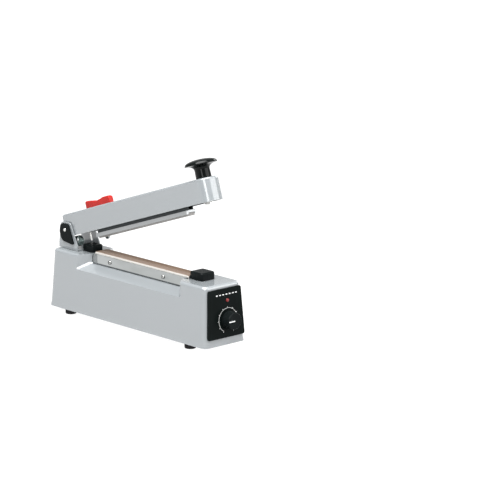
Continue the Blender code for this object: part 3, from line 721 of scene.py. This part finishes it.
def saddle(grow):
    """The space above the ledges, its inner corners rounded, widened on every side by grow."""
    far, high = 0.048, 0.110
    corner = SADDLE_CORNER + grow
    rings = []
    for x in (-far, -LEDGE_HALF, -SEAT_HALF, SEAT_HALF, LEDGE_HALF, far):
        out = max(0.0, abs(x) - LEDGE_HALF)
        low = LEDGE_Z - out * LEDGE_FALL - grow * UPRIGHT
        front = SADDLE_Y[0] - out * SADDLE_FLARE - grow
        rear = SADDLE_Y[1] + (abs(x) - SEAT_HALF) * REAR_FLARE + grow
        corners = ((front, low), (rear, low), (rear, high), (front, high))
        shape = rounded(corners, (corner, corner, 0, 0), 8)
        rings.append([(x, y, z) for y, z in shape])
    return loft(rings)


def build_casing():
    """Thin casing, hollow below, pressed down along both ledges and open under the bar."""
    inner = casing_skin(WALL, FOOT_HEIGHT - 0.001, CASE_TOP - WALL)
    hollow = carve(inner, saddle(WALL))
    slot = block((-SLOT_HALF, SADDLE_Y[0] + WALL, SLOT_Z[0]),
                 (SLOT_HALF, SADDLE_Y[1] - WALL, SLOT_Z[1]))
    front = BAR_Y[0] - SEAT_GAP
    low_rear, high_rear = SEAT_REAR
    shape = ((front, SEAT_Z[0]), (low_rear[0], SEAT_Z[0]), low_rear,
             high_rear, (high_rear[0], SEAT_Z[1]), (front, SEAT_Z[1]))
    seat = loft([[(x, y, z) for y, z in shape] for x in (-SEAT_HALF, SEAT_HALF)])
    openings = [slot, seat]
    for up, radius in ((DIAL_UP, DIAL_BORE), (LAMP_UP, LAMP_BORE)):
        openings.append(rod(radius, -PANEL_BORE_REACH, PANEL_BORE_REACH,
                            FACE @ Matrix.Translation((DIAL_X, up, 0))))
    gland = Matrix.Translation((0, 0, GLAND_Z)) @ Matrix.Rotation(radians(90), 4, "X")
    openings.append(rod(GLAND_BORE, -GLAND_BORE_Y[1], -GLAND_BORE_Y[0], gland))
    openings.append(rod(PUSHER_BORE, *PUSHER_BORE_Z, Matrix.Translation((*PUSHER_AT, 0)), 48))
    shell = carve(casing_skin(0.0, FOOT_HEIGHT, CASE_TOP), saddle(0.0), hollow, *openings)
    piece("casing_shell", shell, "paint", "base", "paint", "body_casing", bevel=0.0006,
          segments=3)


def build_feet():
    """Rubber feet with a rounded lower edge and a counterbore for the screw."""
    bore, sink, sink_top = 0.0021, 0.0042, 0.0052
    unshaded_foot = [(sink, 0), (0.0068, 0), (0.0074, 0.0003), (0.0077, 0.0010), (0.0080, 0.0076),
            (0.0079, FOOT_HEIGHT), (bore, FOOT_HEIGHT), (bore, sink_top), (sink, sink_top)]
    for left_right, side in SIDES.items():
        for end, y in FOOT_Y.items():
            piece(f"rubber_foot_{end}_{left_right}", turned(unshaded_foot), "rubber", "base", "rubber",
                  f"foot_{end}_{left_right}", at=Matrix.Translation((side * FOOT_X, y, 0)))


# ---- front panel ------------------------------------------------------------------------
PANEL_FACE = 0.0023
INK_GAP = 0.00002
INK = 0.00006
SCALE_RADIUS = 0.0163
SCALE_START, SCALE_SWEEP = 240.0, 300.0
SCALE_LINE = 0.0002
TICKS = 10
TICK_LENGTH = 0.0018
TICK_HALF = 0.7  # degrees
DASHES = 7
DASH = (0.0030, 0.0013)
DASH_PITCH = 0.0056
DASH_START = (-0.0155, 0.0592)


def stroke(bm, corners):
    """Thin printed shape on the panel, as a flat plate of closed outline."""
    z = PANEL_FACE + INK_GAP
    lower = [bm.verts.new((x, y, z)) for x, y in corners]
    upper = [bm.verts.new((x, y, z + INK)) for x, y in corners]
    for i in range(len(corners)):
        j = (i + 1) % len(corners)
        bm.faces.new((lower[i], lower[j], upper[j], upper[i]))
    bm.faces.new(reversed(lower))
    bm.faces.new(upper)


def build_panel_print():
    """Scale arc with ticks round the dial, and a plain dashed rule above the lamp."""
    def polar(radius, degrees):
        a = radians(degrees)
        return DIAL_X + radius * cos(a), DIAL_UP + radius * sin(a)

    scale = bmesh.new()
    count = 100
    spots = [SCALE_START - SCALE_SWEEP * k / count for k in range(count + 1)]
    inner, outer = SCALE_RADIUS - SCALE_LINE, SCALE_RADIUS + SCALE_LINE
    stroke(scale, [polar(inner, a) for a in spots] + [polar(outer, a) for a in reversed(spots)])
    near, far = outer + SCALE_LINE, outer + TICK_LENGTH
    for k in range(TICKS + 1):
        a = SCALE_START - SCALE_SWEEP / TICKS * k
        stroke(scale, [polar(near, a - TICK_HALF), polar(near, a + TICK_HALF),
                       polar(far, a + TICK_HALF), polar(far, a - TICK_HALF)])
    piece("dial_scale", scale, "white", "base", "white", at=FACE)
    rule = bmesh.new()
    left, up = DASH_START
    for k in range(DASHES):
        x = left + k * DASH_PITCH
        stroke(rule, [(x, up), (x + DASH[0], up), (x + DASH[0], up + DASH[1]), (x, up + DASH[1])])
    piece("dashed_rule", rule, "white", "base", "white", at=FACE)


DIAL_RADIUS = 0.0120
DIAL_REAR = 0.0028
DIAL_FACE = 0.0163
LAMP_RADIUS = 0.0025


def build_dial():
    """Timer knob with a fluted rim and a blind bore behind, and the lamp's domed lens."""
    radius, rear, face = DIAL_RADIUS, DIAL_REAR, DIAL_FACE
    bore, bore_end = 0.00308, 0.0145
    recess, recess_end = 0.0085, 0.0066
    chamfer, rim, taper = 0.0004, 0.0012, 0.0005
    profile = [(bore, recess_end), (recess, recess_end), (recess, rear),
               (radius - chamfer, rear), (radius, rear + chamfer), (radius, rear + 0.003),
               (radius - taper, face - rim)]
    profile += arc((radius - 0.0015, face - rim), (0.0010, rim), 0, pi / 2, 6, 1)
    profile += [(0.0080, face - 0.0001), (0, face - 0.0001), (0, bore_end), (bore, bore_end)]
    flutes = ripple(36, 0.022)
    knob = turned(profile, 288, lambda angle, r: flutes(angle) if r > 0.0110 else 1.0)
    piece("fluted_dial_knob", knob, "black", "dial", "black", "timer_knob", at=DIAL)
    rear, rim, height = -0.009, 0.0026, 0.0016
    lamp = [(0, rear), (LAMP_RADIUS, rear), (LAMP_RADIUS, rim)]
    lamp += dome(LAMP_RADIUS, rim, height, 9)
    piece("lamp_lens", turned(lamp, 48), "lens", "base", "lens", "indicator_lamp",
          at=FACE @ Matrix.Translation((DIAL_X, LAMP_UP, 0)))


# ---- sealing bar ------------------------------------------------------------------------
BAR_HALF = 0.012
BAR_TOP = 0.0919
LAYER = 0.0004
GROOVE_LEFT = 0.0082
SLANT_LOW = (0.1002, 0.0740)
SLANT_HIGH = (0.0885, 0.0925)
PLATE_LOW = 0.0750
PLATE = 0.0014
SCREW_Y = {"front": -0.055, "rear": 0.056}
SCREW_TURN = {"front": 20, "rear": 65}
SCREW_Z = 0.0828


def build_cloth():
    """Coated cloth folded over the bar: slightly wavy, rounded at the edge, cut on a slant."""
    z = BAR_TOP + 0.0008
    out = BAR_HALF + 0.0001
    top = z + LAYER
    fold = 0.0016
    right = GROOVE_LEFT - 0.0003
    flat, bend, drop = 14, 8, 6
    centre = (-out - LAYER + fold, top - fold)
    low = PLATE_LOW + 0.006
    outer = [(right - 0.0013 * k, top) for k in range(flat)]
    outer += arc(centre, (fold, fold), pi / 2, pi / 2, bend)
    outer += [(-out - LAYER, centre[1] - (centre[1] - low) * k / drop) for k in range(1, drop + 1)]
    inner = [(-out, low), (-out, z - fold), (-out + 0.0006, z - 0.0001), (right, z)]
    start = BAR_Y[0] + 0.0003
    fall = (SLANT_LOW[0] - SLANT_HIGH[0]) / (SLANT_HIGH[1] - SLANT_LOW[1])
    count = 120
    rings = []
    for k in range(count + 1):
        share = k / count
        ring = []
        for i, (x, height) in enumerate(outer + inner):
            end = SLANT_HIGH[0] + (SLANT_HIGH[1] - height) * fall - LAYER
            y = start + (end - start) * share
            wave = 0.00010 * sin(y * 410 + x * 260) + 0.00007 * sin(y * 930 - x * 520 + 1.3)
            lift = abs(wave) if i < flat else 0.0
            bulge = abs(wave * 0.6) if flat + bend <= i < len(outer) else 0.0
            ring.append((x - bulge, y, height + lift))
        rings.append(ring)
    piece("folded_cloth", loft(rings), "ptfe", "base", "ptfe", "ptfe_cover", crease=60.0)


def build_plate_screws():
    """Pan heads with a cross recess, two on each clamping plate."""
    head, height, shank, length = 0.0028, 0.0018, 0.0014, 0.0066
    rim = 0.35  # share of the head's height that is straight, and the depth of the recess
    arm, half = 0.0015, 0.00028
    reach = BAR_HALF + LAYER + 0.0005 + PLATE + 0.0002
    profile = [(0, height)]
    for step in range(1, 9):
        a = pi / 2 * step / 8
        profile.append((head * sin(a), height * (rim + (1 - rim) * cos(a))))
    profile += [(head, 0), (shank, 0), (shank, -length), (0, -length)]
    for left_right, side in SIDES.items():
        for end, y in SCREW_Y.items():
            cross = [block((-wide, -deep, height * rim), (wide, deep, height * 2))
                     for wide, deep in ((arm, half), (half, arm))]
            place = (Matrix.Translation((side * reach, y, SCREW_Z))
                     @ Matrix.Rotation(side * pi / 2, 4, "Y")
                     @ Matrix.Rotation(radians(SCREW_TURN[end]), 4, "Z"))
            piece(f"cross_head_screw_{end}_{left_right}", carve(turned(profile, 48), *cross),
                  "screw", "base", "zinc", f"plate_screw_{end}_{left_right}", at=place)


# ---- rear: gland and spring -------------------------------------------------------------
DIAL_PROUD = 0.0163  # how far the dial stands out in front; the gland does the same behind
SPRING_AXIS = (0.1262, 0.1014)
SPRING_RADIUS = 0.0068
SPRING_WIRE = 0.0006
SPRING_SPAN = (-0.0168, -0.0081)
SPRING_TURNS = 6
SPRING_FOOT = 0.0912
SPRING_TIP = 0.1113


def build_gland():
    """Cord gland: a flange with grips and a tapering sleeve."""
    end = (BELT_HALF[1] + DIAL_PROUD * cos(FACE_LEAN)
           - (DIAL_UP - DIAL_RADIUS + 0.0011) * sin(FACE_LEAN))
    wall = casing_half(GLAND_Z - 0.009)[1] + 0.0003
    bore, neck, flange, sleeve = 0.0036, 0.0062, 0.0090, 0.0078
    inside, shoulder = wall - 0.016, wall + 0.0066
    profile = [(bore, inside), (neck, inside), (neck, wall), (flange - 0.0002, wall),
               (flange, wall + 0.0003), (flange, wall + 0.0056), (0.0086, wall + 0.0062),
               (sleeve, shoulder)]
    reach = end - wall - 0.0066
    for step in range(1, 10):
        share = step / 9
        profile.append((sleeve - 0.0024 * share ** 1.6, shoulder + reach * share))
    profile.append((bore, end))
    grips = ripple(18, 0.035)
    gland = turned(profile, 180, lambda angle, r: grips(angle) if r > 0.0085 else 1.0)
    at = Matrix.Translation((0, 0, GLAND_Z)) @ Matrix.Rotation(radians(-90), 4, "X")
    piece("ribbed_cord_gland", gland, "black", "base", "black", "cord_gland", at=at)


def build_spring():
    """Torsion spring with one leg on the bracket and one under the arm."""
    middle_y, middle_z = SPRING_AXIS
    start, end = SPRING_SPAN
    front = middle_y - SPRING_RADIUS
    leg = 6
    path = [(start, front, SPRING_TIP - (SPRING_TIP - middle_z) * k / leg) for k in range(leg)]
    count = SPRING_TURNS * 40
    for i in range(count + 1):
        a = pi + 2 * pi * SPRING_TURNS * i / count
        path.append((start + (end - start) * i / count, middle_y + SPRING_RADIUS * cos(a),
                     middle_z + SPRING_RADIUS * sin(a)))
    path += [(end, front, middle_z - (middle_z - SPRING_FOOT) * k / leg)
             for k in range(1, leg + 1)]
    coil = piece("torsion_spring", tube(path, SPRING_WIRE, 14), "dark_steel", "base", "steel",
                 "return_spring", crease=60.0)
    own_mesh(coil)


# ---- arm --------------------------------------------------------------------------------
ARM_EDGE_RADIUS = 0.003
CUTTER_SLOT_X = (0.0081, 0.0106)
CUTTER_SLOT_Y = (-0.2495, -0.0365)
CUTTER_SLOT_CORNER = 0.0011
AXLE_BORE = 0.0026
BOLT_BORE = 0.0032
PAST = 0.002  # how far a cutting tool runs on past the sheet


def arm_outline(inset, steps=48):
    """The arm from above, square at the rear and round in front."""
    half = ARM_HALF - inset
    rear = ARM_REAR - inset
    centre = ARM_FRONT + ARM_HALF
    return [(half, rear), (-half, rear)] + arc((0, centre), (half, half), pi, pi, steps)


def build_arm():
    """Sheet arm open below and behind, bored for its axle, the knob's bolt and the cutter."""
    rings = [[(x, y, ARM_BOTTOM) for x, y in arm_outline(0)]]
    for step in range(9):
        a = pi / 2 * step / 8
        z = ARM_TOP - ARM_EDGE_RADIUS * (1 - sin(a))
        tuck = ARM_EDGE_RADIUS * (1 - cos(a))
        rings.append([(x, y, z) for x, y in arm_outline(tuck)])
    (left, right), (front, rear) = CUTTER_SLOT_X, CUTTER_SLOT_Y
    slot = rounded(((left, front), (right, front), (right, rear), (left, rear)),
                   CUTTER_SLOT_CORNER)
    axle = Matrix.Translation(-ARM_SHIFT) @ Matrix.Rotation(radians(90), 4, "Y")
    inside = ARM_HALF - ARM_SHEET
    tools = [prism(arm_outline(ARM_SHEET), ARM_BOTTOM - PAST, ARM_TOP - ARM_SHEET),
             block((-0.020, -0.004, ARM_BOTTOM - PAST), (0.020, ARM_REAR + PAST, -0.0038)),
             block((-inside, -0.006, -0.006), (inside, ARM_REAR + PAST, 0.0060)),
             rod(AXLE_BORE, -0.030, 0.030, axle, 48),
             prism(slot, 0.010, 0.030),
             rod(BOLT_BORE, -0.020, 0.030, Matrix.Translation((0, KNOB_Y, 0)), 48)]
    piece("arm_shell", carve(loft(rings), *tools), "paint", "arm", "paint", "arm_cover", at=ARM,
          bevel=0.0003)


def build_press_knob():
    """Pressing knob: waisted stem under a domed disc."""
    base, rim, top = ARM_TOP + 0.0003, ARM_TOP + 0.0191, ARM_TOP + 0.0258
    bore, bore_end = BOLT_BORE, ARM_TOP + 0.0003 + 0.0165
    radius, lip = 0.0221, 0.0010
    profile = [(bore, base), (0.0102, base), (0.0106, base + 0.0004), (0.0106, base + 0.0010),
               (0.0103, rim - 0.0075), (0.0107, rim - 0.0055), (0.0118, rim - 0.0040),
               (0.0140, rim - 0.0026), (0.0172, rim - 0.0016), (0.0203, rim - 0.0011)]
    profile += arc((radius - lip, rim - 0.0001), (lip, lip), -pi / 2, pi * 0.80, 8)
    shoulder = Vector(profile[-1])
    profile += dome(shoulder.x, shoulder.y, top - shoulder.y, 15)
    profile += [(0, bore_end), (bore, bore_end)]
    piece("domed_press_knob", turned(profile, 96), "gloss_black", "arm", "knob", "press_knob",
          crease=50.0, at=ARM @ Matrix.Translation((0, KNOB_Y, 0)))


def build_handle():
    """Red finger grip of the cutter: crowned, dipped in the middle, rounded at its edges."""
    base = ARM_TOP + 0.0003
    left, right = 0.0054, 0.0134
    radius = 0.0014
    tops = ((-0.0790, 0.0086), (-0.0770, 0.0103), (-0.0750, 0.0110), (-0.0650, 0.0108),
            (-0.0580, 0.0093), (-0.0500, 0.0080), (-0.0370, 0.0098), (-0.0285, 0.0109),
            (-0.0265, 0.0106), (-0.0255, 0.0094))
    eased = (-0.0700, -0.0300)
    front, rear = tops[0][0], tops[-1][0]

    def height(y):
        for (y0, z0), (y1, z1) in zip(tops, tops[1:]):
            if y <= y1:
                share = (y - y0) / (y1 - y0)
                if eased[0] <= y0 <= eased[1]:
                    share = share * share * (3 - 2 * share)
                return z0 + (z1 - z0) * share
        return tops[-1][1]

    count, steps = 72, 6
    rings = []
    for k in range(count + 1):
        y = front + (rear - front) * k / count
        crown = base + height(y) - radius
        ends = min(y - front, rear - y)
        tuck = max(0.0, 0.0008 - ends) ** 2 / 0.0016
        ring = [(left + tuck, base), (right - tuck, base)]
        for side, x0 in ((1, right - radius), (-1, left + radius)):
            for step in range(steps + 1):
                a = pi / 2 * (step if side > 0 else steps - step) / steps
                ring.append((x0 + side * (radius * cos(a) - tuck), crown + radius * sin(a)))
        rings.append([(x, y, z) for x, z in ring])
    piece("finger_grip", loft(rings), "red", "cutter", "red", "cutter_handle", at=ARM,
          crease=50.0)


build_casing()
build_feet()
build_panel_print()
build_dial()
build_cloth()
build_plate_screws()
build_gland()
build_spring()
build_arm()
build_press_knob()
build_handle()

# ---- floor, light and camera ------------------------------------------------------------
FLOOR_RADIUS = 14.0
FLOOR_GLOW = 0.96
LEFT_TINT = (0.80, 0.82, 0.86, 1)
DIFFUSE_LEVEL = 0.80
GLOSSY_LEVEL = 0.50
# Area lights: name, place, what it aims at, width and height, watts.
LIGHTS = (
    ("key_strip", (-1.55, -1.15, 0.85), (0, -0.05, 0.12), (0.55, 1.4), 14.0),
    ("upper_left", (-0.55, -0.25, 2.00), (0, 0, 0.08), (1.7, 2.0), 155.0),
    ("rear_right_fill", (2.20, 0.05, 0.90), (0, 0, 0.08), (1.0, 1.0), 14.0),
    ("front_fill", (0.9, -2.0, 1.2), (0, -0.05, 0.08), (2.4, 2.0), 50.0),
)
VIEW_AZIMUTH = radians(42.67)
VIEW_RISE = radians(13.09)
VIEW_DISTANCE = 3.74342
VIEW_TARGET = Vector((0.19432, 0.0, 0.07735))
VIEW_LENS = 192.22
SENSOR_WIDTH = 36.0


def floor():
    """White ground that glows: its own colour is dark, so it throws no light back up."""
    bm = bmesh.new()
    bmesh.ops.create_circle(bm, cap_ends=True, segments=96, radius=FLOOR_RADIUS)
    obj = shown("floor", bm)
    m = Nodes("floor_white", roughness=0.9)
    m.colour(m.ramp(m.noise(3.0, 2.0),
                    ((0.2, (0.080, 0.080, 0.080)), (0.8, (0.090, 0.090, 0.090)))))
    m.set(Emission_Color=(1.0, 1.0, 1.0, 1.0), Emission_Strength=FLOOR_GLOW)
    obj.data.materials.append(m.mat)


def world():
    """White studio, dimmer and bluer on the left, and dimmer where shiny surfaces see it."""
    made = bpy.data.worlds.new("studio")
    bpy.context.scene.world = made
    made.use_nodes = True
    tree = made.node_tree
    background = tree.nodes["Background"]
    place = tree.nodes.new("ShaderNodeTexCoord")
    split = tree.nodes.new("ShaderNodeSeparateXYZ")
    tree.links.new(place.outputs["Generated"], split.inputs[0])
    ramp = tree.nodes.new("ShaderNodeValToRGB")
    share = tree.nodes.new("ShaderNodeMapRange")
    tree.links.new(split.outputs["X"], share.inputs["Value"])
    share.inputs["From Min"].default_value = -1.0
    share.inputs["From Max"].default_value = 0.6
    tree.links.new(share.outputs["Result"], ramp.inputs["Fac"])
    ramp.color_ramp.elements[0].color = LEFT_TINT
    ramp.color_ramp.elements[1].color = (1.0, 1.0, 1.0, 1)
    tree.links.new(ramp.outputs["Color"], background.inputs["Color"])
    path = tree.nodes.new("ShaderNodeLightPath")
    level = tree.nodes.new("ShaderNodeMapRange")
    tree.links.new(path.outputs["Is Glossy Ray"], level.inputs["Value"])
    level.inputs["To Min"].default_value = DIFFUSE_LEVEL
    level.inputs["To Max"].default_value = GLOSSY_LEVEL
    tree.links.new(level.outputs["Result"], background.inputs["Strength"])


def aimed(name, data, at, direction):
    """A lamp or camera put at a place and turned to look along a direction."""
    obj = bpy.data.objects.new(name, data)
    obj.location = at
    obj.rotation_mode = "QUATERNION"
    obj.rotation_quaternion = direction.to_track_quat("-Z", "Y")
    bpy.context.scene.collection.objects.link(obj)
    return obj


def area(name, at, aim, size, power):
    data = bpy.data.lights.new(name, "AREA")
    data.shape = "RECTANGLE"
    data.size, data.size_y = size
    data.energy = power
    aimed(name, data, at, Vector(aim) - Vector(at))


def camera():
    level = cos(VIEW_RISE)
    back = Vector((-sin(VIEW_AZIMUTH) * level, -cos(VIEW_AZIMUTH) * level, sin(VIEW_RISE)))
    data = bpy.data.cameras.new("camera")
    data.lens = VIEW_LENS
    data.sensor_width = SENSOR_WIDTH
    data.clip_start, data.clip_end = 0.1, 100.0
    obj = aimed("camera", data, VIEW_TARGET + back * VIEW_DISTANCE, -back)
    bpy.context.scene.camera = obj


floor()
world()
for light in LIGHTS:
    area(*light)
camera()
bpy.context.scene.view_settings.view_transform = "Standard"
